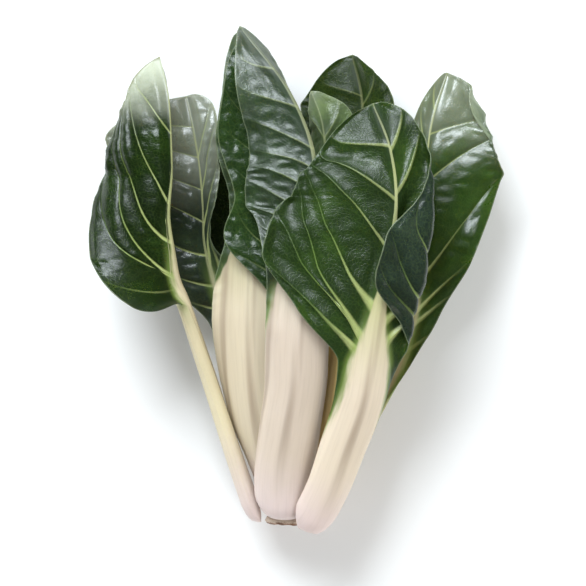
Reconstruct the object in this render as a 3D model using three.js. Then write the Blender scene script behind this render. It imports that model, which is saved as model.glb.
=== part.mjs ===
// A whole head of white-stalked Swiss chard, lying on its side as it was cut.
//
// Units are millimetres and +Z is up. The head lies along +Y: its cut foot is at the low end
// and the leaf tips are at the high end. Every leaf is one solid, a fleshy white stalk that
// thins into the midrib of a broad green blade, and the leaves sit in rings around the crown,
// a short cone of solid stem with a flat cut face.
//
// A leaf is described at eleven stations from the foot of its stalk to its tip. The stalk ends
// and the blade begins at the fifth. Left and right are as seen from the leaf's inner side
// with its tip up. A single number stands for the same value at every station.
//   path    the midrib, [x, y, z] at each station
//   back    the way that the outer side faces, in degrees about +Y: 0 is +X and 90 is up
//   left    distance from the midrib to the left margin, at each station
//   right   the same to the right margin
//   tip     share of the length over which the tip rounds off
//   sweep   how far the margin runs ahead of the midrib, per unit of width, at foot and tip
//   stalk   half-width of the thick white stalk, at its foot and at the blade
//   thick   thickness of the stalk at its foot
//   white   share of the length at which the stalk starts to thin into the midrib
//   cup     how far a half of the stalk, and of the blade, curls towards the inner side
//   fold    angle at which the left and the right half leave the midrib
//   bend    further turn of the left and the right half where they cross the crease
//   crease  distance from the midrib to the crease, on the left and on the right half
//   wave    height of the ripples along the margin, how many there are, and where they start
//   detail  columns across the leaf and rows along it
//   colour  of the blade

import * as THREE from "three";
import { mergeVertices } from "three/addons/utils/BufferGeometryUtils.js";

const BLADE_START = 0.4;
const SKIN = 1.1; // thickness of the blade away from its midrib
const STALK_EDGE = 1.6; // thickness of the stalk's two margins
const INNER_SHARE = 0.35; // share of the thickness that lies on the inner side
const FOOT_ROUND = 0.055; // share of the length over which the stalk's foot rounds in
const FOOT_NARROW = 0.5; // width of the stalk's very end, as a share of its full width
const MIDRIB_SHARE = 0.05; // width of the midrib at the tip, as a share of the stalk
const MIDRIB_TAPER = 0.17; // share of the length over which the stalk thins into the midrib
const CREASE_WIDTH = 10; // width of the band over which a crease turns
const CROWN_COLOUR = 0xb99a72;

const leaves = {
  leaf_left_outer: {
    path: [[-24.5, 6.5, 31.3], [-39.4, 50, 31.9], [-54, 96, 33.7], [-69.3, 143.5, 45],
      [-75.5, 160, 50], [-78, 178, 54], [-80.5, 201, 57], [-78.5, 226, 59], [-79, 252, 58],
      [-81, 278, 53], [-87, 302, 42]],
    back: [180, 181, 185, 205, 225, 248, 262, 268, 272, 275, 280],
    left: [10, 8, 6.5, 6, 44, 52, 53, 50, 41, 30, 19],
    right: [8.5, 6.5, 5, 4.5, 9, 24, 32, 34, 30, 22, 10],
    tip: 0.07, sweep: [0, 0.1],
    stalk: [13, 6], thick: 9.6, white: 0.36, cup: [42, 0],
    fold: [[0, 0, 0, 0, -2, -4, -5, -6, -6, -4, 0], [0, 0, -5, -40, -90, -128, -138, -142, -140, -130, -110]],
    bend: [[0, 0, 0, 0, -10, -30, -40, -45, -45, -40, -30], 0], crease: [30, 20],
    wave: [1.2, 2, 0.1], detail: [10, 24], colour: 0x23401d,
  },
  leaf_left_back: {
    path: [[-15.6, 13, 22.4], [-22, 40, 20.7], [-28, 72, 18.4], [-35, 105, 16.5], [-44, 136, 16.5],
      [-53, 160, 19], [-59, 184, 22], [-60, 209, 25], [-62, 232, 26], [-66, 256, 24.5], [-71, 279, 19]],
    back: [226, 230, 236, 244, 253, 260, 266, 268, 270, 271, 272],
    left: [5.5, 6, 9, 12, 13, 26, 42, 50, 57, 58, 50],
    right: [6.5, 6.5, 9, 11, 12, 12, 6, 10, 13, 18, 18],
    tip: 0.1, sweep: [0.2, 0.12],
    stalk: [12, 11], thick: 7, white: 0.4, cup: [42, 0],
    fold: [[0, 0, 0, 0, -3, -4, -5, -6, -8, -8, 0], [0, 0, 0, 5, 12, 20, 40, 44, 32, 20, 15]],
    bend: [0, 0], crease: [20, 20],
    wave: [3, 2, 0.3], detail: [10, 22], colour: 0x2c4634,
  },
  leaf_front: {
    path: [[-9.5, 9.5, 48.6], [-9, 38, 55], [-5, 66, 60.5], [-1, 94, 64.5], [0, 123, 67],
      [2, 153, 68], [8, 184, 69], [11, 207, 69], [10, 242, 68], [-6, 280, 65.5], [-36, 320, 54]],
    back: [97, 94, 92, 90, 90, 90, 90, 88, 86, 86, 88],
    left: [18, 20, 21, 21, 20, 20, 18, 16, 15, 15, 7],
    right: [18, 20, 21, 21, 20, 21, 33, 46, 43, 34, 8],
    tip: 0.05, sweep: [0.1, 0],
    stalk: [20, 20], thick: 9, white: 0.42, cup: [52, 8],
    fold: [[0, 0, 0, 0, 0, 10, 40, 80, 90, 70, 50], [0, 0, 0, 0, 0, 5, 8, 8, 8, 6, 0]],
    bend: [0, [0, 0, 0, 0, 0, 0, 6, 12, 14, 12, 0]], crease: [20, 24],
    wave: [2, 2.5, 0.6], detail: [12, 24], colour: 0x2f4f33,
  },
  leaf_center_left: {
    path: [[-13.3, 18.4, 37.3], [-18.5, 45, 40], [-24, 72, 43], [-27.5, 100, 45], [-29, 128, 45.5],
      [-29, 156, 44], [-29, 186, 42], [-29, 216, 41], [-34, 249, 41], [-38, 282, 40], [-38, 318, 34]],
    back: [138, 116, 106, 102, 101, 100, 99, 98, 96, 96, 96],
    left: [10, 13, 17, 21, 23, 33, 50, 38, 41, 26, 12],
    right: [9.5, 16.8, 22.3, 25.7, 26, 25, 17, 15, 18, 9, 6],
    tip: 0.07, sweep: [0, 0],
    stalk: [15, 23], thick: 8, white: 0.43, cup: [50, 4],
    fold: [0, [0, 0, 0, 0, 0, 5, 10, 10, 5, 5, 5]],
    bend: [-172, 0], crease: [[30, 30, 30, 29, 28, 21, 17, 14, 13, 9, 5], 10],
    wave: [1.2, 3, 0.9], detail: [14, 24], colour: 0x35522c,
  },
  leaf_inner_right: {
    path: [[9, 20, 35], [14.5, 48, 35], [19, 78, 37], [23, 108, 38], [27, 138, 39],
      [31, 165, 40], [35, 192, 40], [38, 220, 40], [41, 248, 40], [41, 277, 39], [35, 304, 34.5]],
    back: [40, 55, 66, 76, 84, 88, 90, 92, 92, 92, 92],
    left: [12, 13, 14, 14, 14, 18, 20, 21, 23, 20, 13],
    right: [6, 7, 9, 10, 11, 19, 26, 30, 36, 40, 32],
    tip: 0.11, sweep: [0.2, 0],
    stalk: [12, 13], thick: 6.5, white: 0.4, cup: [42, 5],
    fold: [[0, 0, 0, 0, 5, 8, 10, 12, 15, 25, 30], 5],
    bend: [0, 0], crease: [20, 20],
    wave: [2, 2, 0.2], detail: [8, 20], colour: 0x33502a,
  },
  leaf_heart_side: {
    path: [[2.1, 31, 42], [5, 55, 47.8], [6, 82, 48.6], [8, 110, 50], [11, 138, 50],
      [13, 163, 50], [15, 188, 50], [17, 212, 50], [18, 236, 50], [16, 259, 49], [9, 280, 45]],
    back: [90, 90, 90, 90, 90, 90, 90, 90, 90, 90, 90],
    left: [4, 5, 6, 8, 9, 12, 15, 18, 20, 20, 10],
    right: [4, 5, 6, 7, 9, 12, 14, 15, 14, 10, 5],
    tip: 0.1, sweep: [0.2, 0],
    stalk: [6, 9], thick: 4.5, white: 0.4, cup: [45, 10],
    fold: [5, [0, 0, 0, 5, 10, 15, 20, 25, 35, 45, 40]],
    bend: [0, 0], crease: [20, 20],
    wave: [1, 2, 0.5], detail: [8, 16], colour: 0x5f7a45,
  },
  leaf_heart: {
    path: [[-6, 33, 29], [-9, 52, 30], [-11, 71, 31], [-13, 90, 32], [-14, 109, 33],
      [-15, 126, 33], [-16, 142, 33], [-17, 158, 33], [-18, 173, 32], [-19, 187, 32], [-20, 200, 31]],
    back: [115, 112, 108, 105, 102, 100, 98, 96, 95, 95, 95],
    left: [5, 5, 5, 6, 6, 8, 10, 12, 12, 10, 6],
    right: [5, 5, 5, 6, 6, 8, 10, 12, 12, 10, 6],
    tip: 0.12, sweep: [0.2, 0],
    stalk: [5, 6], thick: 4, white: 0.38, cup: [50, 20],
    fold: [15, 15], bend: [0, 0], crease: [20, 20],
    wave: [0.8, 2, 0.3], detail: [6, 12], colour: 0x6b8450,
  },
  leaf_right_front: {
    path: [[8, 1.5, 50.2], [21, 28, 57.5], [31, 55, 62.8], [40, 81, 67.5], [45, 107, 72],
      [49, 133, 76], [54, 160, 80], [59, 187, 83], [61, 214, 84], [57, 243, 82], [47, 270, 73]],
    back: [55, 58, 62, 66, 70, 76, 82, 86, 88, 90, 90],
    left: [15, 16, 17, 18, 20, 34, 59, 55, 33, 23, 22],
    right: [16, 16, 17, 18, 20, 51, 78, 76, 66, 58, 54],
    tip: 0.12, sweep: [0.12, 0],
    stalk: [16, 18], thick: 9, white: 0.33, cup: [46, 8],
    fold: [[0, 0, 0, 0, 0, 4, 4, 4, 4, 4, 4], [0, 0, 0, 0, 2, 6, 8, 9, 9, 8, 6]],
    bend: [-172, 0], crease: [24, 30],
    wave: [2, 2, 0.7], detail: [16, 24], colour: 0x27461f,
  },
  leaf_right_back: {
    path: [[14, 10, 27], [27, 38, 25], [40, 64, 23], [52, 88, 23], [63, 112, 25],
      [74, 142, 28], [79, 172, 32], [81, 202, 35], [82, 232, 37], [86, 262, 36], [96, 293, 30]],
    back: [335, 325, 315, 300, 287, 278, 273, 272, 270, 268, 268],
    left: [13.5, 14.5, 14, 14, 14, 16, 18, 19, 17, 11, 6],
    right: [11, 12, 10, 10, 12, 17, 31, 41, 49, 52, 32],
    tip: 0.08, sweep: [0.15, 0],
    stalk: [14, 9], thick: 8, white: 0.36, cup: [46, 6],
    fold: [[0, 0, 0, 0, 0, -8, -15, -18, -18, -12, 0], [0, 0, 0, 0, 0, 0, 0, 0, 2, 4, 4]],
    bend: [0, 165], crease: [20, [56, 56, 56, 56, 56, 56, 56, 56, 51, 42, 15]],
    wave: [3.5, 2, 0.4], detail: [12, 24], colour: 0x1f3a1b,
  },
  leaf_under: {
    path: [[-4, 8, 9.5], [-4, 36, 7.5], [-4, 64, 6.2], [-5, 92, 5.2], [-6, 120, 4.3],
      [-7, 147, 3.2], [-8, 174, 2.3], [-9, 201, 1.9], [-10, 226, 2], [-12, 249, 3.5], [-15, 270, 8]],
    back: [272, 271, 270, 270, 270, 270, 270, 270, 270, 270, 270],
    left: [13, 13, 13, 14, 17, 34, 50, 54, 50, 36, 18],
    right: [15, 16.5, 18, 18, 18, 26, 38, 46, 46, 34, 18],
    tip: 0.12, sweep: [0.2, 0],
    stalk: [20, 16], thick: 9.5, white: 0.38, cup: [46, 0],
    fold: [[4, 4, 4, 3, 0, -2, -2, -2, -1, 0, 2], [5, 5, 5, 3, 0, -3, -3, -2, -1, 0, 2]],
    bend: [0, 0], crease: [20, 20],
    wave: [1.2, 2, 0.8], detail: [8, 20], colour: 0x2b4724,
  },
};

const foot = { x: -5.5, y: 5.5, z: 31 }; // centre of the crown's cut face
const crownProfile = [
  [0, 0], [12, 0], [14, 0.8], [15, 2.2], [13.5, 5], [9.5, 8.5], [6, 14], [3, 20], [0, 21],
];

const radians = THREE.MathUtils.degToRad;
const clamp01 = (x) => Math.min(1, Math.max(0, x));
const ease = (x) => clamp01(x) ** 2 * (3 - 2 * clamp01(x));

// A value given at every station, in between them. It never overshoots what is given.
function at(values, t) {
  if (!Array.isArray(values)) return values;
  const last = values.length - 1;
  const place = clamp01(t) * last;
  const i = Math.min(Math.floor(place), last - 1);
  const f = place - i;
  const step = (k) => values[k + 1] - values[k];
  const slope = (k) => {
    if (k <= 0) return step(0);
    if (k >= last) return step(last - 1);
    const [before, after] = [step(k - 1), step(k)];
    return before * after <= 0 ? 0 : (2 * before * after) / (before + after);
  };
  const rest = 1 - f;
  const value = values[i] + step(i) * f * f * (3 - 2 * f);
  return value + slope(i) * f * rest * rest - slope(i + 1) * f * f * rest;
}

// How much of its foot's width the white part still has.
function taper(leaf, t) {
  const past = Math.max(0, t - leaf.white) / MIDRIB_TAPER;
  return MIDRIB_SHARE + (1 - MIDRIB_SHARE) * Math.exp(-(past ** 1.2));
}

// Share of the full width that is left where the foot and the tip round off.
function rounding(leaf, t) {
  const foot = FOOT_NARROW + (1 - FOOT_NARROW) * Math.sqrt(ease(t / FOOT_ROUND));
  const past = clamp01((t - 1 + leaf.tip) / leaf.tip);
  return foot * Math.sqrt(Math.max(0, 1 - past * past));
}

function halfWidth(leaf, t, half) {
  return at(half === 0 ? leaf.left : leaf.right, t) * rounding(leaf, t) + 0.3;
}

function thickness(leaf, t, across) {
  const skin = STALK_EDGE + (SKIN - STALK_EDGE) * ease(t / BLADE_START);
  const rib = leaf.thick * taper(leaf, t) ** 0.6 * (1 - 0.6 * t);
  const stalk = leaf.stalk[0] + (leaf.stalk[1] - leaf.stalk[0]) * ease(t / BLADE_START);
  const ribHalf = 1.15 * stalk * taper(leaf, t) * rounding(leaf, t) + 0.3;
  return skin + Math.max(0, rib - skin) * (1 - Math.min(1, across / ribHalf) ** 2);
}

// Where a half's section has got to at a distance from the midrib, and the angle it has there.
function section(leaf, t, half, distance, width) {
  const crease = at(leaf.crease[half], t);
  const from = Math.min(width, crease - CREASE_WIDTH / 2);
  const to = Math.min(width, crease + CREASE_WIDTH / 2);
  const cup = leaf.cup[0] + (leaf.cup[1] - leaf.cup[0]) * ease((t - 0.25) / 0.25);
  const curl = radians(cup) / width;
  const turn = curl + radians(at(leaf.bend[half], t)) / CREASE_WIDTH;
  let angle = radians(at(leaf.fold[half], t));
  let [out, up] = [0, 0];
  for (const [start, end, rate] of [[0, from, curl], [from, to, turn], [to, width, curl]]) {
    const run = Math.min(distance, end) - start;
    if (run <= 0) continue;
    const turned = rate * run;
    const chord = Math.abs(turned) < 1e-6 ? run : (run * Math.sin(turned / 2)) / (turned / 2);
    out += chord * Math.cos(angle + turned / 2);
    up += chord * Math.sin(angle + turned / 2);
    angle += turned;
  }
  return { out, up, angle };
}

// Spreads the columns of a half so that the same ones always run along its crease.
function shareOfWidth(leaf, t, half, x, width) {
  if (leaf.bend[half] === 0) return x ** 1.2;
  const crease = at(leaf.crease[half], t);
  const from = Math.min(0.8, (crease - CREASE_WIDTH / 2) / width);
  const to = Math.min(0.9, (crease + CREASE_WIDTH / 2) / width);
  if (x < 0.4) return (x / 0.4) * from;
  if (x < 0.75) return from + ((x - 0.4) / 0.35) * (to - from);
  return to + ((x - 0.75) / 0.25) * (1 - to);
}

// Moves a point of a flat slab onto the leaf: x runs across it from -1 to 1, y along it
// from 0 to 1, and z is positive on the inner side.
function placeOnLeaf(leaf, spine, slab) {
  const t = slab.y + (0.5 - 0.5 * Math.cos(Math.PI * slab.y) - slab.y) * 0.5;
  const half = slab.x < 0 ? 0 : 1;
  const side = slab.x < 0 ? -1 : 1;
  const width = halfWidth(leaf, t, half);
  const s = shareOfWidth(leaf, t, half, Math.abs(slab.x), width);
  const along = spine.getTangent(t);
  const outward = radians(at(leaf.back, t));
  const inner = new THREE.Vector3(-Math.cos(outward), 0, -Math.sin(outward));
  inner.addScaledVector(along, -inner.dot(along)).normalize();
  const right = along.clone().cross(inner);

  const { out, up, angle } = section(leaf, t, half, s * width, width);
  const normal = inner.clone().multiplyScalar(Math.cos(angle));
  normal.addScaledVector(right, -side * Math.sin(angle));
  const point = spine.getPoint(t);
  point.addScaledVector(right, side * out).addScaledVector(inner, up);

  const onBlade = ease((t - BLADE_START) / 0.1);
  const sweep = leaf.sweep[0] + (leaf.sweep[1] - leaf.sweep[0]) * t;
  point.addScaledVector(along, sweep * onBlade * s * s * width);
  const [height, count, start] = leaf.wave;
  const phase = 2 * Math.PI * (2 * count * t + start + 0.37 * half);
  const ripple = height * s * s * onBlade * ease((1 - t) / 0.1) * Math.sin(phase);
  point.addScaledVector(normal, ripple);

  const thick = thickness(leaf, t, s * width);
  const below = Math.max(thick * (1 - INNER_SHARE) * normal.z, -thick * INNER_SHARE * normal.z);
  point.z = Math.max(point.z, below);
  return point.addScaledVector(normal, slab.z > 0 ? thick * INNER_SHARE : -thick * (1 - INNER_SHARE));
}

function leafGeometry(leaf) {
  const [columns, rows] = leaf.detail;
  const stations = leaf.path.map((p) => new THREE.Vector3(...p));
  const spine = new THREE.CatmullRomCurve3(stations, false, "catmullrom", 0.5);
  const slab = new THREE.BoxGeometry(2, 1, 1, columns, rows, 1).translate(0, 0.5, 0);
  slab.deleteAttribute("normal");
  slab.deleteAttribute("uv");
  const geometry = mergeVertices(slab);
  const points = geometry.getAttribute("position");
  const corner = new THREE.Vector3();
  for (let i = 0; i < points.count; i++) {
    const p = placeOnLeaf(leaf, spine, corner.fromBufferAttribute(points, i));
    points.setXYZ(i, p.x, p.y, p.z);
  }
  geometry.computeVertexNormals();
  return geometry;
}

function crownGeometry() {
  const profile = crownProfile.map(([r, y]) => new THREE.Vector2(r, y));
  return new THREE.LatheGeometry(profile, 24).translate(foot.x, foot.y, foot.z);
}

function addPiece(name, geometry, color, roughness) {
  const material = new THREE.MeshStandardMaterial({ color, roughness, metalness: 0 });
  const mesh = new THREE.Mesh(geometry, material);
  mesh.name = name;
  head.add(mesh);
}

const head = new THREE.Group();
for (const [name, leaf] of Object.entries(leaves)) {
  addPiece(name, leafGeometry(leaf), leaf.colour, 0.4);
}
addPiece("crown", crownGeometry(), CROWN_COLOUR, 0.7);

// The head stands on the origin, centred.
const extent = new THREE.Box3().setFromObject(head);
head.position.set(-(extent.min.x + extent.max.x) / 2, -(extent.min.y + extent.max.y) / 2, -extent.min.z);

export default head;
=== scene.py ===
import math

import bmesh
import bpy
import numpy as np
from mathutils import Matrix, Vector


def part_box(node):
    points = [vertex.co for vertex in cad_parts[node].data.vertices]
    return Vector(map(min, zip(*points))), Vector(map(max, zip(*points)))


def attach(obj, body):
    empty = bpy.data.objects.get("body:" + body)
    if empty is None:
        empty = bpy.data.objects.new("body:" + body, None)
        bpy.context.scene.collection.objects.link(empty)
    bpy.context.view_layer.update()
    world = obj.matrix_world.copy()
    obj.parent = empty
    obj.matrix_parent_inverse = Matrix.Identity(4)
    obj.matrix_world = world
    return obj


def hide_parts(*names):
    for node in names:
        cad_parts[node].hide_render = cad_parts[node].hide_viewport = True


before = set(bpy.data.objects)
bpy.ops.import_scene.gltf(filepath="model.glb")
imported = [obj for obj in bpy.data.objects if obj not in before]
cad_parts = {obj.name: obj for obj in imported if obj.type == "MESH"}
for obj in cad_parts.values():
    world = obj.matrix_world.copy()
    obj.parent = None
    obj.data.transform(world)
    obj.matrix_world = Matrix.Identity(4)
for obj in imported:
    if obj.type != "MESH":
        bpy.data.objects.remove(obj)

print("frame loaded")
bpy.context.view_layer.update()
crownLow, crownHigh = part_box("crown")
mm = 0.001
scene = bpy.context.scene
# the tables below count from the head's own zero, 5.5 mm in front of the cut face, 31 mm under its middle
headZero = np.array([(crownLow.x + crownHigh.x) / 2 + 5.5 * mm, crownLow.y - 5.5 * mm,
                     (crownLow.z + crownHigh.z) / 2 - 31 * mm])

# every leaf: eleven stations from the foot of the stalk to the tip, in mm and degrees
#   path: the midrib; back: the way its outer side faces, turned up from +X; left, right: the widths
#   tip: share of the length that rounds off; sweep: how far the margin runs on past the midrib
#   stalk: half-width at the foot and at the blade; thick: thickness at the foot; cup: curl of a half
#          at the foot and on the blade; white: where the stalk thins into the midrib
#   fold: how far the left and the right half turn up at the midrib; bend, crease: how far they turn
#          at a crease, and where it is; wave: height, number and start of the margin's large waves
#   veins: side veins of the left and the right half, [leaves the midrib, meets the margin], as shares
#          of the length; a branch adds [.., share of the width where it forks off, its trunk's end]
#   wing: where the green margin starts; mesh: columns, rows; swell: height of the bulge between two
#          side veins; pucker, cell: height and size of the small bulges; ruffle: of the margin
#   inner, outer: green of the two sides; flesh: colour of the stalk; shine, gloss: roughness and
#          specular level of the blade; whiteTop: where the white thins into the midrib
#   wingWhite: how much of the stalk stays white beside the green margin; veinTone, veinBase: contrast
#          of the veins, width where they start; tipSheen, tipSheenFrom: painted sheen that pales the tip, a
#          painted highlight, and where it starts
leaves = {
    "leaf_left_outer": dict(
        path=[[-24.5, 6.5, 31.3], [-39.4, 50, 31.9], [-54, 96, 33.7], [-69.3, 143.5, 45],
              [-75.5, 160, 50], [-78, 178, 54], [-80.5, 201, 57], [-78.5, 226, 59], [-79, 252, 58],
              [-81, 278, 53], [-87, 302, 42]],
        back=[180, 181, 185, 205, 225, 248, 262, 268, 272, 275, 280],
        left=[10, 8, 6.5, 6, 44, 52, 53, 50, 41, 30, 19],
        right=[8.5, 6.5, 5, 4.5, 9, 24, 32, 34, 30, 22, 10],
        tip=0.07, sweep=[0, 0.1], stalk=[13, 6], thick=10.8, white=0.36, cup=[42, 0],
        fold=[[0, 0, 0, 0, -2, -4, -5, -6, -6, -4, 0],
              [0, 0, -5, -40, -90, -128, -138, -142, -140, -130, -110]],
        bend=[[0, 0, 0, 0, -10, -30, -40, -45, -45, -40, -30], 0], crease=[30, 20], wave=[1.2, 2, 0.1],
        veins=[[[0.375, 0.45], [0.412, 0.66, 0.22, 0.84], [0.42, 0.84], [0.53, 0.91], [0.63, 0.955],
                [0.8, 0.98]],
               [[0.4, 0.55], [0.47, 0.72], [0.58, 0.84], [0.7, 0.93], [0.83, 0.98]]],
        wing=0.26, mesh=[120, 260], swell=3.4, pucker=0.6, cell=18, ruffle=0.35,
        inner="15260A", outer="34462A", flesh="D6CAA6", shine=0.28, gloss=0.42,
        whiteTop=0.35, wingWhite=0.65, veinTone=0.95, veinBase=1.1, tipSheen=0.85, tipSheenFrom=0.86),
    "leaf_left_back": dict(
        path=[[-15.6, 13, 22.4], [-22, 40, 20.7], [-28, 72, 18.4], [-35, 105, 16.5], [-44, 136, 16.5],
              [-53, 160, 19], [-59, 184, 22], [-60, 209, 25], [-62, 232, 26], [-66, 256, 24.5],
              [-71, 279, 19]],
        back=[226, 230, 236, 244, 253, 260, 266, 268, 270, 271, 272],
        left=[5.5, 6, 9, 12, 13, 26, 42, 50, 57, 58, 50],
        right=[6.5, 6.5, 9, 11, 12, 12, 6, 10, 13, 18, 18],
        tip=0.1, sweep=[0.2, 0.12], stalk=[12, 11], thick=7, white=0.4, cup=[42, 0],
        fold=[[0, 0, 0, 0, -3, -4, -5, -6, -8, -8, 0], [0, 0, 0, 5, 12, 20, 40, 44, 32, 20, 15]],
        bend=[0, 0], crease=[20, 20], wave=[3, 2, 0.3],
        veins=[[[0.42, 0.47], [0.49, 0.55], [0.57, 0.65], [0.655, 0.75], [0.74, 0.84], [0.83, 0.92],
                [0.91, 0.97]],
               [[0.42, 0.52], [0.47, 0.62], [0.54, 0.72], [0.63, 0.82], [0.73, 0.91], [0.83, 0.96]]],
        wing=0.3, mesh=[110, 240], swell=2.8, pucker=0.9, cell=14, ruffle=0.4,
        inner="243224", outer="3E4C36", flesh="C9BCA4", shine=0.3, gloss=1.0,
        whiteTop=0.3, wingWhite=0.7, veinTone=0.8, veinBase=0.7, tipSheen=0.32, tipSheenFrom=0.72),
    "leaf_front": dict(
        path=[[-9.5, 9.5, 48.6], [-9, 38, 55], [-5, 66, 60.5], [-1, 94, 64.5], [0, 123, 67],
              [2, 153, 68], [8, 184, 69], [11, 207, 69], [10, 242, 68], [-6, 280, 65.5], [-36, 320, 54]],
        back=[97, 94, 92, 90, 90, 90, 90, 88, 86, 86, 88],
        left=[18, 20, 21, 21, 20, 20, 18, 16, 15, 15, 7],
        right=[18, 20, 21, 21, 20, 21, 33, 46, 43, 34, 8],
        tip=0.05, sweep=[0.1, 0], stalk=[20, 20], thick=9, white=0.42, cup=[52, 8],
        fold=[[0, 0, 0, 0, 0, 10, 40, 80, 90, 70, 50], [0, 0, 0, 0, 0, 5, 8, 8, 8, 6, 0]],
        bend=[0, [0, 0, 0, 0, 0, 0, 6, 12, 14, 12, 0]], crease=[20, 24], wave=[2, 2.5, 0.6],
        veins=[[[0.5, 0.58], [0.58, 0.67], [0.66, 0.75], [0.74, 0.83], [0.82, 0.9], [0.9, 0.96]],
               [[0.5, 0.56], [0.565, 0.62], [0.63, 0.69], [0.68, 0.745], [0.725, 0.79], [0.765, 0.835],
                [0.8, 0.9], [0.87, 0.945], [0.93, 0.98]]],
        wing=0.42, mesh=[120, 260], swell=0.9, pucker=1.7, cell=14, ruffle=0.35,
        inner="243A1E", outer="233A1A", flesh="CDBCA8", shine=0.36, gloss=1.25,
        whiteTop=0.5, wingWhite=0.62, veinTone=0.5, veinBase=1.0, tipSheen=0.1, tipSheenFrom=0.93),
    "leaf_center_left": dict(
        path=[[-13.3, 18.4, 37.3], [-18.5, 45, 40], [-24, 72, 43], [-27.5, 100, 45], [-29, 128, 45.5],
              [-29, 156, 44], [-29, 186, 42], [-29, 216, 41], [-34, 249, 41], [-38, 282, 40],
              [-38, 318, 34]],
        back=[138, 116, 106, 102, 101, 100, 99, 98, 96, 96, 96],
        left=[10, 13, 17, 21, 23, 33, 50, 38, 41, 26, 12],
        right=[10.8, 18.4, 23.8, 26.6, 26, 25, 17, 15, 18, 9, 6],
        tip=0.07, sweep=[0, 0], stalk=[15, 23], thick=8, white=0.43, cup=[50, 4],
        fold=[0, [0, 0, 0, 0, 0, 5, 10, 10, 5, 5, 5]],
        bend=[-172, 0], crease=[[30, 30, 30, 29, 28, 21, 17, 14, 13, 9, 5], 10], wave=[1.2, 3, 0.9],
        veins=[[[0.46, 0.58], [0.53, 0.68], [0.61, 0.77], [0.69, 0.84], [0.77, 0.9], [0.85, 0.95]],
               [[0.48, 0.56], [0.57, 0.66], [0.67, 0.77], [0.77, 0.87], [0.87, 0.95]]],
        wing=0.46, mesh=[110, 240], swell=1.0, pucker=1.1, cell=12, ruffle=0.45,
        inner="263C1C", outer="3C4E32", flesh="CDBFA4", shine=0.24, gloss=0.4,
        whiteTop=0.5, wingWhite=0.9, veinTone=0.4, veinBase=0.7, tipSheen=0, tipSheenFrom=0.93),
    "leaf_inner_right": dict(
        path=[[9, 20, 35], [14.5, 48, 35], [19, 78, 37], [23, 108, 38], [27, 138, 39],
              [31, 165, 40], [35, 192, 40], [38, 220, 40], [41, 248, 40], [41, 277, 39], [35, 304, 34.5]],
        back=[40, 55, 66, 76, 84, 88, 90, 92, 92, 92, 92],
        left=[12, 13, 14, 14, 14, 18, 20, 21, 23, 20, 13],
        right=[6, 7, 9, 10, 11, 19, 26, 30, 36, 40, 32],
        tip=0.11, sweep=[0.2, 0], stalk=[12, 13], thick=6.5, white=0.4, cup=[42, 5],
        fold=[[0, 0, 0, 0, 5, 8, 10, 12, 15, 25, 30], 5],
        bend=[0, 0], crease=[20, 20], wave=[2, 2, 0.2],
        veins=[[[0.48, 0.6], [0.58, 0.72], [0.68, 0.81], [0.78, 0.89], [0.88, 0.96]],
               [[0.46, 0.57], [0.55, 0.67], [0.64, 0.77], [0.73, 0.86], [0.82, 0.92], [0.9, 0.97]]],
        wing=0.34, mesh=[80, 190], swell=1.2, pucker=0.8, cell=15, ruffle=0.4,
        inner="223418", outer="22340F", flesh="E6CC84", shine=0.27, gloss=0.3,
        whiteTop=0.43, wingWhite=0.75, veinTone=0.3, veinBase=0.7, tipSheen=0, tipSheenFrom=0.93),
    "leaf_heart_side": dict(
        path=[[2.1, 31, 42], [5, 55, 47.8], [6, 82, 48.6], [8, 110, 50], [11, 138, 50],
              [13, 163, 50], [15, 188, 50], [17, 212, 50], [18, 236, 50], [16, 259, 49], [9, 280, 45]],
        back=[90, 90, 90, 90, 90, 90, 90, 90, 90, 90, 90],
        left=[4, 5, 6, 8, 9, 12, 15, 18, 20, 20, 10],
        right=[4, 5, 6, 7, 9, 12, 14, 15, 14, 10, 5],
        tip=0.1, sweep=[0.2, 0], stalk=[6, 9], thick=4.5, white=0.4, cup=[45, 10],
        fold=[5, [0, 0, 0, 5, 10, 15, 20, 25, 35, 45, 40]],
        bend=[0, 0], crease=[20, 20], wave=[1, 2, 0.5],
        veins=[[[0.46, 0.58], [0.56, 0.69], [0.66, 0.79], [0.76, 0.88], [0.86, 0.95]],
               [[0.5, 0.62], [0.62, 0.75], [0.74, 0.86], [0.86, 0.95]]],
        wing=0.34, mesh=[64, 160], swell=0.8, pucker=1.1, cell=8, ruffle=0.4,
        inner="3A5028", outer="4C6038", flesh="D0C6A8", shine=0.27, gloss=0.6,
        whiteTop=0.43, wingWhite=0.75, veinTone=0.4, veinBase=0.5, tipSheen=0.3, tipSheenFrom=0.93),
    "leaf_heart": dict(
        path=[[-6, 33, 29], [-9, 52, 30], [-11, 71, 31], [-13, 90, 32], [-14, 109, 33],
              [-15, 126, 33], [-16, 142, 33], [-17, 158, 33], [-18, 173, 32], [-19, 187, 32],
              [-20, 200, 31]],
        back=[115, 112, 108, 105, 102, 100, 98, 96, 95, 95, 95],
        left=[5, 5, 5, 6, 6, 8, 10, 12, 12, 10, 6],
        right=[5, 5, 5, 6, 6, 8, 10, 12, 12, 10, 6],
        tip=0.12, sweep=[0.2, 0], stalk=[5, 6], thick=4, white=0.38, cup=[50, 20],
        fold=[15, 15], bend=[0, 0], crease=[20, 20], wave=[0.8, 2, 0.3],
        veins=[[[0.45, 0.6], [0.6, 0.75], [0.75, 0.88]], [[0.5, 0.65], [0.66, 0.8], [0.82, 0.92]]],
        wing=0.34, mesh=[48, 120], swell=0.5, pucker=0.5, cell=7, ruffle=0.3,
        inner="5A7044", outer="73865C", flesh="D6CCB0", shine=0.3, gloss=0.4,
        whiteTop=0.4, wingWhite=0.75, veinTone=0.4, veinBase=0.5, tipSheen=0, tipSheenFrom=0.93),
    "leaf_right_front": dict(
        path=[[8, 1.5, 50.2], [21, 28, 57.5], [31, 55, 62.8], [40, 81, 67.5], [45, 107, 72],
              [49, 133, 76], [54, 160, 80], [59, 187, 83], [61, 214, 84], [57, 243, 82], [47, 270, 73]],
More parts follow.
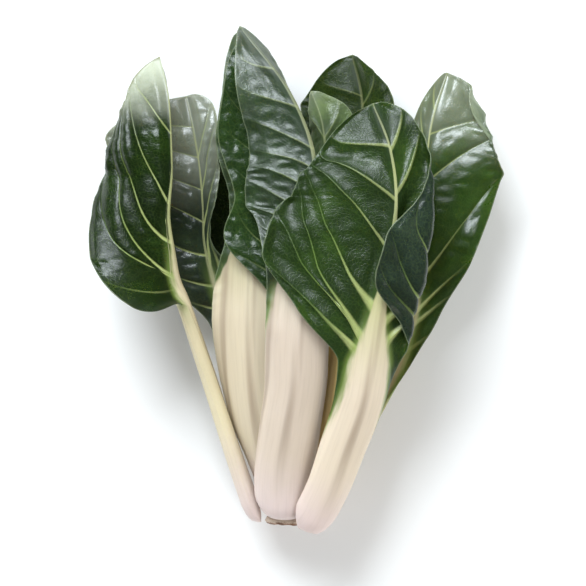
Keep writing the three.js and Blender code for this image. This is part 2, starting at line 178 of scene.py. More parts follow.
        back=[55, 58, 62, 66, 70, 76, 82, 86, 88, 90, 90],
        left=[15, 16, 17, 18, 20, 34, 59, 55, 33, 23, 22],
        right=[16, 16, 17, 18, 20, 51, 78, 76, 66, 58, 54],
        tip=0.12, sweep=[0.12, 0], stalk=[16, 18], thick=9, white=0.33, cup=[46, 8],
        fold=[[0, 0, 0, 0, 0, 4, 4, 4, 4, 4, 4], [0, 0, 0, 0, 2, 6, 8, 9, 9, 8, 6]],
        bend=[-172, 0], crease=[24, 30], wave=[2, 2, 0.7],
        veins=[[[0.42, 0.64], [0.5, 0.72], [0.6, 0.79], [0.7, 0.86], [0.8, 0.92], [0.89, 0.97]],
               [[0.385, 0.58], [0.41, 0.72, 0.4, 0.86], [0.418, 0.86],
                [0.53, 0.922], [0.665, 0.942], [0.785, 0.96], [0.9, 0.98]]],
        wing=0.24, mesh=[150, 300], swell=2.9, pucker=0.55, cell=20, ruffle=0.4,
        inner="243228", outer="243A14", flesh="D8C9B2", shine=0.26, gloss=0.46,
        whiteTop=0.41, wingWhite=0.55, veinTone=0.9, veinBase=3.2, tipSheen=0, tipSheenFrom=0.93),
    "leaf_right_back": dict(
        path=[[14, 10, 27], [27, 38, 25], [40, 64, 23], [52, 88, 23], [63, 112, 25],
              [74, 142, 28], [79, 172, 32], [81, 202, 35], [82, 232, 37], [86, 262, 36], [96, 293, 30]],
        back=[335, 325, 315, 300, 287, 278, 273, 272, 270, 268, 268],
        left=[13.5, 14.5, 14, 14, 14, 16, 18, 19, 17, 11, 6],
        right=[11, 12, 10, 10, 12, 17, 31, 41, 49, 52, 32],
        tip=0.08, sweep=[0.15, 0], stalk=[14, 9], thick=8, white=0.36, cup=[46, 6],
        fold=[[0, 0, 0, 0, 0, -8, -15, -18, -18, -12, 0], [0, 0, 0, 0, 0, 0, 0, 0, 2, 4, 4]],
        bend=[0, 165], crease=[20, [56, 56, 56, 56, 56, 56, 56, 56, 51, 42, 15]], wave=[3.5, 2, 0.4],
        veins=[[[0.42, 0.52], [0.51, 0.63], [0.61, 0.74], [0.72, 0.85], [0.83, 0.93], [0.92, 0.975]],
               [[0.4, 0.46], [0.465, 0.54], [0.49, 0.62], [0.56, 0.79], [0.765, 0.91], [0.87, 0.96]]],
        wing=0.24, mesh=[120, 250], swell=3.2, pucker=0.9, cell=16, ruffle=0.4,
        inner="2A4614", outer="64765A", flesh="B8A87C", shine=0.3, gloss=1.0,
        whiteTop=0.38, wingWhite=0.75, veinTone=1.0, veinBase=1.2, tipSheen=0.3, tipSheenFrom=0.84),
    "leaf_under": dict(
        path=[[-4, 8, 9.5], [-4, 36, 7.5], [-4, 64, 6.2], [-5, 92, 5.2], [-6, 120, 4.3],
              [-7, 147, 3.2], [-8, 174, 2.3], [-9, 201, 1.9], [-10, 226, 2], [-12, 249, 3.5],
              [-15, 270, 8]],
        back=[272, 271, 270, 270, 270, 270, 270, 270, 270, 270, 270],
        left=[13, 13, 13, 14, 17, 34, 50, 54, 50, 36, 18],
        right=[15, 16.5, 18, 18, 18, 26, 38, 46, 46, 34, 18],
        tip=0.12, sweep=[0.2, 0], stalk=[20, 16], thick=9.5, white=0.38, cup=[46, 0],
        fold=[[4, 4, 4, 3, 0, -2, -2, -2, -1, 0, 2], [5, 5, 5, 3, 0, -3, -3, -2, -1, 0, 2]],
        bend=[0, 0], crease=[20, 20], wave=[1.2, 2, 0.8],
        veins=[[[0.4, 0.55], [0.47, 0.66], [0.56, 0.76], [0.66, 0.85], [0.76, 0.92], [0.86, 0.97]],
               [[0.42, 0.58], [0.5, 0.69], [0.6, 0.79], [0.7, 0.88], [0.8, 0.94], [0.9, 0.98]]],
        wing=0.32, mesh=[100, 200], swell=1.0, pucker=0.8, cell=12, ruffle=0.3,
        inner="18260F", outer="2E4026", flesh="CDBEA8", shine=0.27, gloss=0.4,
        whiteTop=0.4, wingWhite=0.8, veinTone=0.5, veinBase=0.8, tipSheen=0, tipSheenFrom=0.93),
}

# what all leaves share, in mm and shares
build = dict(
    skin=0.5, thinnest=0.25,  # blade thickness, and the least anywhere
    floorGap=0.05,  # nothing comes closer to the floor
    bladeStart=0.4, bladeOver=0.1,  # where the stalk becomes blade, and over how much of the length
    stalkEdge=1.6, innerShare=0.35, footRound=0.055, footNarrow=0.5,
    ribSpread=1.15, midribShare=0.05, midribTaper=0.17, creaseWidth=10,
    whiteTaper=0.115, whiteShare=0.03,  # the white narrows sooner than the rib is thin
    roundEnd=0.035,  # share of the length over which the foot closes
    rowEase=0.35,  # how much closer the rows lie in the middle of the leaf
    leanFrom=0.48, leanOver=0.25,  # where the side veins stop leaving the midrib at a narrow angle
    veinRidge=0.9, veinGroove=0.5,  # relief of the side veins
    veinThin=0.5, veinFat=1.2, veinFade=14,  # their half-width, what the stalk adds, and how far out
    flute=0.4, fluteCount=1.3,  # lengthwise ribs of the stalk: height, waves per half
    ripple=17,  # length of the small ripples along the margin
    bulgeStart=7, bulgeEnd=6,  # the bulges rise and end over this distance
    bulgeRoom=16,  # two side veins this far apart have the full bulge between them
    drift=2.0, driftSize=26,  # slow unevenness of the blade
    grain=0.08, grainSize=3.5,  # the finest, as a share of the puckers
)


def smooth(x):
    x = np.clip(x, 0, 1)
    return x * x * (3 - 2 * x)


def at(values, t):  # a value at every station, in between them; it never overshoots
    if np.isscalar(values):
        return np.full(np.shape(t), float(values))
    v = np.asarray(values, float)
    last = len(v) - 1
    place = np.clip(t, 0, 1) * last
    i = np.minimum(place.astype(int), last - 1)
    f = place - i
    step = np.diff(v)
    before, after = step[:-1], step[1:]
    total = np.where(before + after == 0, 1, before + after)
    inside = np.where(before * after > 0, 2 * before * after / total, 0)
    slope = np.concatenate([step[:1], inside, step[-1:]])
    rest = 1 - f
    return v[i] + step[i] * f * f * (3 - 2 * f) + slope[i] * f * rest * rest - slope[i + 1] * f * f * rest


def spineAt(path, t):  # point and direction of the midrib
    p = np.asarray(path, float)
    p = np.vstack([2 * p[0] - p[1], p, 2 * p[-1] - p[-2]])
    last = len(path) - 1
    place = np.clip(t, 0, 1) * last
    i = np.minimum(place.astype(int), last - 1)
    f = (place - i)[..., None]
    a, b = (p[i + 2] - p[i]) / 2, (p[i + 3] - p[i + 1]) / 2
    c = -3 * p[i + 1] + 3 * p[i + 2] - 2 * a - b
    d = 2 * p[i + 1] - 2 * p[i + 2] + a + b
    point = p[i + 1] + a * f + c * f ** 2 + d * f ** 3
    way = a + 2 * c * f + 3 * d * f ** 2
    return point, way / np.linalg.norm(way, axis=-1, keepdims=True)


def patches(x, y, seed):  # smooth seeded noise from -1 to 1, one patch per unit
    values = np.random.RandomState(seed).uniform(-1, 1, (64, 64))
    i, j = np.floor(x).astype(int), np.floor(y).astype(int)
    u, v = smooth(x - i), smooth(y - j)
    low = values[i % 64, j % 64] * (1 - u) + values[(i + 1) % 64, j % 64] * u
    high = values[i % 64, (j + 1) % 64] * (1 - u) + values[(i + 1) % 64, (j + 1) % 64] * u
    return low * (1 - v) + high * v


def quilt(x, y, seed):  # rounded bulges about one unit wide, with creases between them, from 0 to 1
    chance = np.random.RandomState(seed).uniform(0.15, 0.85, (3, 64, 64))
    i, j = np.floor(x).astype(int), np.floor(y).astype(int)
    near, second, top = np.full(x.shape, 9.0), np.full(x.shape, 9.0), np.zeros(x.shape)
    for di in (-1, 0, 1):
        for dj in (-1, 0, 1):
            a, b = (i + di) % 64, (j + dj) % 64
            gap = np.hypot(i + di + chance[0, a, b] - x, j + dj + chance[1, a, b] - y)
            closer = gap < near
            second = np.where(closer, near, np.minimum(second, gap))
            top = np.where(closer, 0.3 + 0.8 * chance[2, a, b], top)
            near = np.where(closer, gap, near)
    return top * smooth((second - near) / 0.7)


def taper(leaf, t):
    past = np.maximum(0, t - leaf["white"]) / build["midribTaper"]
    return build["midribShare"] + (1 - build["midribShare"]) * np.exp(-past ** 1.2)


def rounding(leaf, t):
    foot = build["footNarrow"] + (1 - build["footNarrow"]) * np.sqrt(smooth(t / build["footRound"]))
    past = np.clip((t - 1 + leaf["tip"]) / leaf["tip"], 0, 1)
    return foot * np.sqrt(np.maximum(0, 1 - past * past))


def stalkHalf(leaf, t):  # half-width of the stalk before it thins
    first, last = leaf["stalk"]
    return build["ribSpread"] * (first + (last - first) * smooth(t / build["bladeStart"]))


def ribHalf(leaf, t):  # half-width of the thick part
    return stalkHalf(leaf, t) * taper(leaf, t) * rounding(leaf, t) + 0.3


def thickness(leaf, t, across):
    blade = build["skin"]
    skin = build["stalkEdge"] + (blade - build["stalkEdge"]) * smooth(t / build["bladeStart"])
    rib = leaf["thick"] * taper(leaf, t) ** 0.6 * (1 - 0.6 * t)
    bulge = 1 - np.minimum(1, across / ribHalf(leaf, t)) ** 2
    return skin + np.maximum(0, rib - skin) * bulge


def section(leaf, t, half, distance, width):  # the cross section of a half, as arcs end to end
    crease = at(leaf["crease"][half], t)
    start = np.minimum(width, crease - build["creaseWidth"] / 2)
    end = np.minimum(width, crease + build["creaseWidth"] / 2)
    first, last = leaf["cup"]
    cup = first + (last - first) * smooth((t - 0.25) / 0.25)
    curl = np.radians(cup) / width
    turn = curl + np.radians(at(leaf["bend"][half], t)) / build["creaseWidth"]
    angle = np.radians(at(leaf["fold"][half], t))
    out, up = np.zeros_like(t), np.zeros_like(t)
    for low, high, rate in ((0 * width, start, curl), (start, end, turn), (end, width, curl)):
        run = np.maximum(0, np.minimum(distance, high) - low)
        turned = rate * run
        chord = run * np.sinc(turned / 2 / math.pi)
        out = out + chord * np.cos(angle + turned / 2)
        up = up + chord * np.sin(angle + turned / 2)
        angle = angle + turned
    return out, up, angle


def rowPlaces(leaf, rows):  # where the rows leave the midrib, and how they run to each margin
    runs = []
    fine = np.linspace(0, 1, 4001)
    for half in (0, 1):
        veins = [v if len(v) == 4 else [v[0], v[1], 0, v[1]] for v in leaf["veins"][half]]
        table = np.array([[0, 0, 0, 0]] + veins + [[1, 1, 0, 1]], float)
        runs.append([np.interp(fine, table[:, 0], table[:, k]) for k in (1, 2, 3)])
    share = 0.4 * fine + 0.3 * runs[0][0] + 0.3 * runs[1][0]
    share = share + build["rowEase"] * (0.5 - 0.5 * np.cos(np.pi * share) - share)
    leave = np.interp(np.linspace(0, 1, rows + 1), share, fine)
    return leave, [[np.interp(leave, fine, k) for k in run] for run in runs]


def veinCount(leaf, half, v):  # rises along the midrib, and is whole on each side vein
    starts = [k[0] for k in leaf["veins"][half]]
    n = len(starts)
    knots = [0, starts[0] - 0.06] + starts + [1]
    counts = [-0.5, -0.5] + list(range(n)) + [n - 0.5]
    return np.interp(v, knots, counts)


def halfFields(leaf, half, columns, leave, run):  # where each point of a half lies on the leaf
    x = np.linspace(0, 1, columns + 1)[:, None]
    v = leave[None, :]
    meet, fork, trunk = (k[None, :] for k in run)
    lean = smooth((v - build["leanFrom"]) / build["leanOver"])
    reach = x ** 1.45 * (1 - lean) + (1.2 * x - 0.2 * x * x) * lean
    reach = reach * smooth(v / 0.3)
    branch = np.clip((x - fork) / (1 - fork), 0, 1)
    t = np.clip(v + (trunk - v) * reach + (meet - trunk) * branch, 0, 1)
    width = at(leaf["left"] if half == 0 else leaf["right"], t) * rounding(leaf, t) + 0.3
    s = x + 0 * t
    across = s * width
    length = np.sum(np.linalg.norm(np.diff(np.array(leaf["path"], float), axis=0), axis=1))
    along = t * length

    count = veinCount(leaf, half, v) + 0 * t
    ax, av = np.gradient(across, axis=0), np.gradient(across, axis=1)
    bx, bv = np.gradient(along, axis=0), np.gradient(along, axis=1)
    grow = np.gradient(count, axis=1)
    area = np.abs(ax * bv - av * bx)
    gap = area / np.maximum(1e-9, np.abs(grow) * np.sqrt(ax * ax + bx * bx))
    gap = np.clip(gap, 0.5, 60)
    return dict(t=t, s=s, across=across, along=along, width=width, count=count, gap=gap, half=half)


def sheetOf(name, leaf, f):  # middle of the sheet, the way to its inner side, relief of the two sides
    t, s, across, width, half = f["t"], f["s"], f["across"], f["width"], f["half"]
    seed = sum(ord(c) for c in name) + 7 * half
    side = -1 if half == 0 else 1
    point, along = spineAt(leaf["path"], t)
    outward = np.radians(at(leaf["back"], t))
    inner = np.stack([-np.cos(outward), 0 * outward, -np.sin(outward)], -1)
    inner = inner - along * np.sum(inner * along, -1, keepdims=True)
    inner = inner / np.linalg.norm(inner, axis=-1, keepdims=True)
    right = np.cross(along, inner)
    out, up, angle = section(leaf, t, half, across, width)
    normal = inner * np.cos(angle)[..., None] - right * (side * np.sin(angle))[..., None]
    point = point + right * (side * out)[..., None] + inner * up[..., None]

    onBlade = smooth((t - build["bladeStart"]) / build["bladeOver"])
    sweep = leaf["sweep"][0] + (leaf["sweep"][1] - leaf["sweep"][0]) * t
    point = point + along * (sweep * onBlade * s * s * width)[..., None]
    height, waves, start = leaf["wave"]
    phase = 2 * np.pi * (2 * waves * t + start + 0.37 * half)
    ripple = height * s * s * onBlade * smooth((1 - t) / 0.1) * np.sin(phase)

    # small ripples along the margin, and bulges between the veins
    a, b = across, f["along"]
    edge = smooth((s - 0.55) / 0.45)
    ripple = ripple + leaf["ruffle"] * edge * onBlade * smooth((1 - t) / 0.06) * (
        np.sin(2 * np.pi * (b / build["ripple"] + 0.8 * patches(b / 30, a / 30, seed)))
        + 0.5 * np.sin(2 * np.pi * (2 * b / build["ripple"] + patches(b / 20, a / 30, seed + 1))))
    beyond = across - whiteHalf(leaf, t)
    free = smooth(beyond / build["bulgeStart"]) * onBlade
    beat = np.abs(np.sin(np.pi * f["count"]))
    room = np.clip(f["gap"] / build["bulgeRoom"], 0.15, 1)
    uneven = 0.75 + 0.35 * patches(a / 14, b / 14, seed + 2)
    size = leaf["cell"]
    lean = 0.5 * patches(a / 20, b / 20, seed + 8)
    cells = quilt(a / size + lean, b / size * 1.8 - lean, seed + 7)
    large = leaf["swell"] * room * uneven * beat ** 0.8
    small = leaf["pucker"] * cells * (0.3 + 0.7 * beat ** 0.5)
    bulge = free * smooth((width - across) / build["bulgeEnd"]) * (large + small)
    drift = build["drift"] * patches(a / build["driftSize"], b / build["driftSize"], seed + 3) * free
    fine = patches(a / build["grainSize"], b / build["grainSize"], seed + 4) * free
    fine = build["grain"] * leaf["pucker"] * fine
    point = point + normal * (ripple + bulge + drift + fine)[..., None]

    thick = thickness(leaf, t, across)
    ending = np.clip(t / build["roundEnd"], 0, 1)
    thick = np.maximum(build["thinnest"], thick * np.sqrt(np.maximum(0, 1 - (1 - ending) ** 2)))
    thick = thick * (1 - 0.35 * smooth((s - 0.9) / 0.1) * (1 - onBlade))

    # side veins stand out on the outer side and lie in grooves on the inner side
    away = np.abs(f["count"] - np.round(f["count"])) * f["gap"]
    thin = build["veinThin"] + build["veinFat"] * np.exp(-np.maximum(0, beyond) / build["veinFade"])
    vein = np.exp(-(away / thin) ** 2) * onBlade * smooth((f["count"] + 0.4) / 0.2)
    vein = vein * (1 - 0.75 * smooth((s - 0.3) / 0.7)) * smooth((beyond + 1) / 4)
    flesh = whiteHalf(leaf, t, False)
    inStalk = 1 - smooth((across - 0.72 * flesh) / (0.3 * flesh + 0.5))
    ribs = np.cos(2 * np.pi * (build["fluteCount"] * across / (flesh + 0.5)
                               + 0.35 * patches(b / 60, 0 * b + half, seed + 5)))
    ribs = ribs + 0.2 * patches(a / 3.2, b / 70, seed + 6)
    fat = np.clip(thick / leaf["thick"], 0, 1)
    flute = build["flute"] * ribs * inStalk * smooth((t - 0.03) / 0.2)
    flute = flute * np.clip(fat * 1.6, 0, 1) * smooth(across / 2)
    outerUp = flute + build["veinRidge"] * vein
    innerUp = 0.3 * flute - build["veinGroove"] * vein
    return point, normal, thick, outerUp, innerUp


def whiteHalf(leaf, t, wings=True):  # half-width of what is white
    full = stalkHalf(leaf, t) * rounding(leaf, t)
    past = np.maximum(0, t - leaf["whiteTop"]) / build["whiteTaper"]
    share = build["whiteShare"] + (1 - build["whiteShare"]) * np.exp(-past ** 1.1)
    wing = np.exp(-np.maximum(0, t - leaf["wing"] + 0.08) / 0.07)
    spread = leaf["wingWhite"] + (1.3 - leaf["wingWhite"]) * wing if wings else 0.85
    return 0.25 + full * share * spread


def newPiece(name, mesh):
    mesh.polygons.foreach_set("use_smooth", np.ones(len(mesh.polygons), bool))
    mesh.update()
    piece = bpy.data.objects.new(name, mesh)
    scene.collection.objects.link(piece)
    return piece


def makeLeaf(name, leaf):  # a flat slab of quads, laid out as the leaf
    columns, rows = leaf["mesh"]
    middle = columns // 2
    bm = bmesh.new()
    bmesh.ops.create_grid(bm, x_segments=columns, y_segments=rows, size=1)
    made = bmesh.ops.extrude_face_region(bm, geom=bm.faces[:])
    lifted = [e for e in made["geom"] if isinstance(e, bmesh.types.BMVert)]
    bmesh.ops.translate(bm, vec=(0, 0, 1), verts=lifted)
    bmesh.ops.recalc_face_normals(bm, faces=bm.faces[:])
    mesh = bpy.data.meshes.new(name + "_blade")
    bm.to_mesh(mesh)
    bm.free()

    leave, runs = rowPlaces(leaf, rows)
    halves = []
    for half in (0, 1):
        f = halfFields(leaf, half, middle, leave, runs[half])
        halves.append((f, sheetOf(name, leaf, f)))

    flat = np.empty(len(mesh.vertices) * 3)
    mesh.vertices.foreach_get("co", flat)
    flat = flat.reshape(-1, 3)
    i = np.rint((flat[:, 0] + 1) / 2 * columns).astype(int) - middle
    j = np.rint((flat[:, 1] + 1) / 2 * rows).astype(int)
    up = flat[:, 2] > 0.5  # the inner side
    n = np.abs(i)

    def pick(k, index):  # a field of the half that each vertex is in; on the midrib, their mean
        left, right = halves[0][k][index][n, j], halves[1][k][index][n, j]
        where = (i < 0) if left.ndim == 1 else (i < 0)[:, None]
        mid = (i == 0) if left.ndim == 1 else (i == 0)[:, None]
        return np.where(mid, (left + right) / 2, np.where(where, left, right))

    point, normal, thick = pick(1, 0), pick(1, 1), pick(1, 2)
    normal = normal / np.linalg.norm(normal, axis=1, keepdims=True)
    innerPlace = point + normal * (thick * build["innerShare"] + pick(1, 4))[:, None]
    outerPlace = point - normal * (thick * (1 - build["innerShare"]) + pick(1, 3))[:, None]
    lift = np.maximum(0, build["floorGap"] - np.minimum(innerPlace[:, 2], outerPlace[:, 2]))
    place = np.where(up[:, None], innerPlace, outerPlace)
    place[:, 2] += lift
    mesh.vertices.foreach_set("co", (place * mm + headZero).astype(np.float32).ravel())

    # what the material reads
    f0, f1 = halves[0][0], halves[1][0]
    t = pick(0, "t")
    across, width = pick(0, "across"), pick(0, "width")
    length = f0["along"].max()
    white = across - whiteHalf(leaf, t)
    tipGap = (1 - t) * length * 0.8
    margin = np.minimum(width - across, tipGap)
    for label, values in (("white", white), ("margin", margin), ("share", pick(0, "s")),
                          ("height", t), ("inside", up.astype(float))):
        attribute = mesh.attributes.new(label, "FLOAT", "POINT")
        attribute.data.foreach_set("value", values.astype(np.float32))
    loops = np.empty(len(mesh.loops), np.int32)
    mesh.loops.foreach_get("vertex_index", loops)
    starts, totals = np.empty(len(mesh.polygons), np.int32), np.empty(len(mesh.polygons), np.int32)
    mesh.polygons.foreach_get("loop_start", starts)
    mesh.polygons.foreach_get("loop_total", totals)
    faceOf = np.repeat(np.arange(len(totals)), totals)
    leftFace = np.zeros(len(totals))
    np.add.at(leftFace, faceOf, i[loops])
    left = (leftFace < 0)[faceOf]
    nl, jl = n[loops], j[loops]
    vein = np.stack([np.where(left, f0["count"][nl, jl], f1["count"][nl, jl]),
                     np.where(left, f0["gap"][nl, jl], f1["gap"][nl, jl])], 1)
    plane = np.stack([np.where(left, -1, 1) * np.where(left, f0["across"][nl, jl], f1["across"][nl, jl]),
                      np.where(left, f0["along"][nl, jl], f1["along"][nl, jl])], 1)
    for label, values in (("plane", plane), ("vein", vein)):
        layer = mesh.uv_layers.new(name=label)
        layer.data.foreach_set("uv", values.astype(np.float32).ravel())
    return newPiece(name + "_blade", mesh)


def srgb(code):  # a hex colour, as linear
    parts = [int(code[k:k + 2], 16) / 255 for k in (0, 2, 4)]
    return tuple(p / 12.92 if p <= 0.04045 else ((p + 0.055) / 1.055) ** 2.4 for p in parts) + (1,)


class Tree:  # short words for building nodes
    def __init__(self, tree):
        self.tree = tree

    def node(self, kind, settings=None, **inputs):
        n = self.tree.nodes.new(kind)
        for key, value in (settings or {}).items():
            setattr(n, key, value)
        for key, value in inputs.items():
            self.put(n, key, value)
        return n

    def put(self, n, key, value):
        byNumber = key[0] == "_" and key[1:].isdigit()
        socket = n.inputs[int(key[1:]) if byNumber else key.replace("_", " ")]
        if isinstance(value, bpy.types.NodeSocket):
            self.tree.links.new(value, socket)
        else:
            socket.default_value = value

    def math(self, operation, a, b=None, c=None):
        n = self.node("ShaderNodeMath", {"operation": operation}, _0=a)
        for index, value in ((1, b), (2, c)):
            if value is not None:
                self.put(n, "_%d" % index, value)
        return n.outputs[0]

    def ramp(self, value, low, high, first=0.0, last=1.0):
        n = self.node("ShaderNodeMapRange", {"interpolation_type": "SMOOTHSTEP"}, Value=value)
        for key, v in (("From Min", low), ("From Max", high), ("To Min", first), ("To Max", last)):
            self.put(n, key, v)
        return n.outputs["Result"]

    def mix(self, factor, a, b, blend="MIX"):
        n = self.node("ShaderNodeMix", {"data_type": "RGBA", "blend_type": blend}, _0=factor, _6=a, _7=b)
        return n.outputs[2]

    def noise(self, vector, scale, detail=2.0, rough=0.5):
        n = self.node("ShaderNodeTexNoise", Vector=vector, Scale=scale, Detail=detail,
                      Roughness=rough)
        return n.outputs["Fac"]

    def read(self, label):
        return self.node("ShaderNodeAttribute", {"attribute_name": label}).outputs["Fac"]

    def uv(self, label):
        return self.node("ShaderNodeUVMap", {"uv_map": label}).outputs["UV"]


def newMaterial(name):
    material = bpy.data.materials.new(name)
    material.use_nodes = True
    material.node_tree.nodes.clear()
    return material, Tree(material.node_tree)


def newGroup(name, inputs, outputs):
    tree = bpy.data.node_groups.new(name, "ShaderNodeTree")
    for label, value in inputs:
        kind = "NodeSocketColor" if isinstance(value, tuple) else "NodeSocketFloat"
        socket = tree.interface.new_socket(label, in_out="INPUT", socket_type=kind)
        socket.default_value = value
    for label, kind in outputs:
        tree.interface.new_socket(label, in_out="OUTPUT", socket_type=kind)
    start, end = tree.nodes.new("NodeGroupInput"), tree.nodes.new("NodeGroupOutput")
    return tree, Tree(tree), start.outputs, end


veinFinish = dict(
    ribBlur=3.2, width=0.38, baseWidth=0.8, netSize=2.4,  # mm
    ribWobble=7.0, veinWobble=0.5, netWobble=5.0, baseFade=15.0,  # how far they stray and swell, mm
    sideRelief=0.5, netRelief=0.2)


def veinGroup():  # masks of the rib, the side veins, the small veins and the net, and their relief
    tree, g, given, end = newGroup("leafVeins", [
        ("Rib Blur", veinFinish["ribBlur"]), ("Vein Width", veinFinish["width"]),
        ("Base Width", veinFinish["baseWidth"]), ("Net Size", veinFinish["netSize"])], [
        ("Rib", "NodeSocketFloat"), ("Side", "NodeSocketFloat"), ("Net", "NodeSocketFloat"),
        ("Relief", "NodeSocketFloat")])
    white, share, height = g.read("white"), g.read("share"), g.read("height")
    plane = g.uv("plane")
    vein = g.node("ShaderNodeSeparateXYZ", Vector=g.uv("vein"))
    count, gap = vein.outputs["X"], vein.outputs["Y"]
    drawn = g.node("ShaderNodeMapping", Vector=plane, Scale=(1.0, 0.12, 1.0)).outputs[0]
    wobble = g.math("SUBTRACT", g.noise(drawn, 0.35, 3.0), 0.5)
    low = g.ramp(height, 0.38, 0.62, 1.0, 0.12)
    blurred = g.math("MULTIPLY_ADD", g.math("MULTIPLY", wobble, low), veinFinish["ribWobble"], white)
    blur = g.math("MULTIPLY", given["Rib Blur"], low)
    rib = g.ramp(g.math("DIVIDE", blurred, blur), -0.7, 0.9, 1.0, 0.0)
    away = g.math("MULTIPLY", g.math("PINGPONG", count, 0.5), gap)
    stray = g.math("SUBTRACT", g.noise(plane, 0.3, 2.0), 0.5)
    away = g.math("ABSOLUTE", g.math("MULTIPLY_ADD", stray, veinFinish["veinWobble"], away))
    past = g.math("MAXIMUM", white, 0.0)
    fat = g.math("POWER", 2.718, g.math("DIVIDE", past, -veinFinish["baseFade"]))
    base = g.math("MULTIPLY", given["Base Width"], g.ramp(height, 0.5, 0.72, 1.0, 0.25))
    half = g.math("MULTIPLY_ADD", fat, base, given["Vein Width"])
    inRange = g.ramp(count, -0.45, -0.2)
    side = g.ramp(g.math("DIVIDE", away, half), 0.45, 1.35, 1.0, 0.0)
    side = g.math("MULTIPLY", side, inRange)
    side = g.math("MULTIPLY", side, g.ramp(share, 0.35, 1.0, 1.0, 0.1))
    side = g.math("MULTIPLY", side, g.ramp(height, 0.5, 0.85, 1.0, 0.5))
    onBlade = g.ramp(height, 0.36, 0.46)
    side = g.math("MULTIPLY", side, onBlade)
    bent = g.node("ShaderNodeTexNoise", Vector=plane, Scale=0.25, Detail=1.0)
    moved = g.node("ShaderNodeVectorMath", {"operation": "MULTIPLY_ADD"}, _0=bent.outputs["Color"],
                   _1=(veinFinish["netWobble"], veinFinish["netWobble"], 0.0), _2=plane)
    cell = g.node("ShaderNodeTexVoronoi", {"feature": "DISTANCE_TO_EDGE", "voronoi_dimensions": "2D"},
                  Vector=moved.outputs[0], Scale=g.math("DIVIDE", 1.0, given["Net Size"]))
    net = g.ramp(cell.outputs["Distance"], 0.02, 0.16, 1.0, 0.0)
    net = g.math("MULTIPLY", net, g.math("MULTIPLY", onBlade, g.ramp(white, 0.0, 5.0)))
    relief = g.math("MULTIPLY", net, veinFinish["netRelief"])
    relief = g.math("MULTIPLY_ADD", side, veinFinish["sideRelief"], relief)
    relief = g.math("MULTIPLY", relief, g.math("SUBTRACT", 1.0, rib))
    for label, socket in (("Rib", rib), ("Side", side), ("Net", net), ("Relief", relief)):
        g.put(end, label, socket)
    return tree


stalkFinish = dict(
    foot="D9C6C0", middle="D2C2AC", top="B9B684", streak="907C68",
    streaks=0.75, thinStreaks=0.12,  # how strong the broad ones, partly painted shade of the grooves, and the thin ones are
    shift=13, stretch=0.035, broad=0.11, thin=0.8)  # their place across, length and fineness


def stalkGroup():  # colour and relief of the white flesh, from its lengthwise fibres; its broad dark streaks are partly painted shade of the lengthwise grooves
    tree, g, given, end = newGroup("stalkFlesh", [
        ("Foot", srgb(stalkFinish["foot"])), ("Middle", srgb(stalkFinish["middle"])),
        ("Top", srgb(stalkFinish["top"])), ("Streak", srgb(stalkFinish["streak"])),
        ("Streaks", stalkFinish["streaks"]), ("Top Start", 0.3)], [
        ("Color", "NodeSocketColor"), ("Relief", "NodeSocketFloat")])
    height = g.read("height")
    stretched = g.node("ShaderNodeMapping", Vector=g.uv("plane"),
                       Location=(stalkFinish["shift"], 0, 0), Scale=(1, stalkFinish["stretch"], 1)).outputs[0]
    wide = g.noise(stretched, stalkFinish["broad"], 1.5, 0.5)
    thin = g.noise(stretched, stalkFinish["thin"], 3.0, 0.6)
    blot = g.noise(g.uv("plane"), 0.06, 3.0, 0.55)
    colour = g.mix(g.ramp(g.math("MULTIPLY_ADD", blot, 0.06, height), 0.02, 0.2), given["Foot"],
                   given["Middle"])
    topStart = given["Top Start"]
    colour = g.mix(g.ramp(height, topStart, g.math("ADD", topStart, 0.3)), colour, given["Top"])
    # the broad streaks are partly the flesh's own fibres and partly painted shade of its lengthwise grooves
    streak = g.math("MULTIPLY", g.ramp(wide, 0.46, 0.66), given["Streaks"])
    streak = g.math("MULTIPLY", streak, g.ramp(height, 0.03, 0.25))
    colour = g.mix(streak, colour, given["Streak"])
    lines = g.math("MULTIPLY", g.ramp(thin, 0.42, 0.75), stalkFinish["thinStreaks"])
    colour = g.mix(lines, colour, given["Streak"])
    relief = g.math("MULTIPLY_ADD", thin, 0.2, g.math("MULTIPLY", wide, 0.5))
    g.put(end, "Color", colour)
    g.put(end, "Relief", relief)
    return tree


bladeFinish = dict(
    inner="2E4A22", outer="4A6238", young="56702E", patches=0.75,
    dark=(0.5, 0.52, 0.42, 1), light=(1.9, 1.7, 1.5, 1),  # what the green is multiplied by in a patch; partly the leaf's own uneven green and partly painted shade and painted light, strewn at random
    wide=0.035, small=0.35, smallShare=0.22)  # fineness of the two patterns, share of the small one


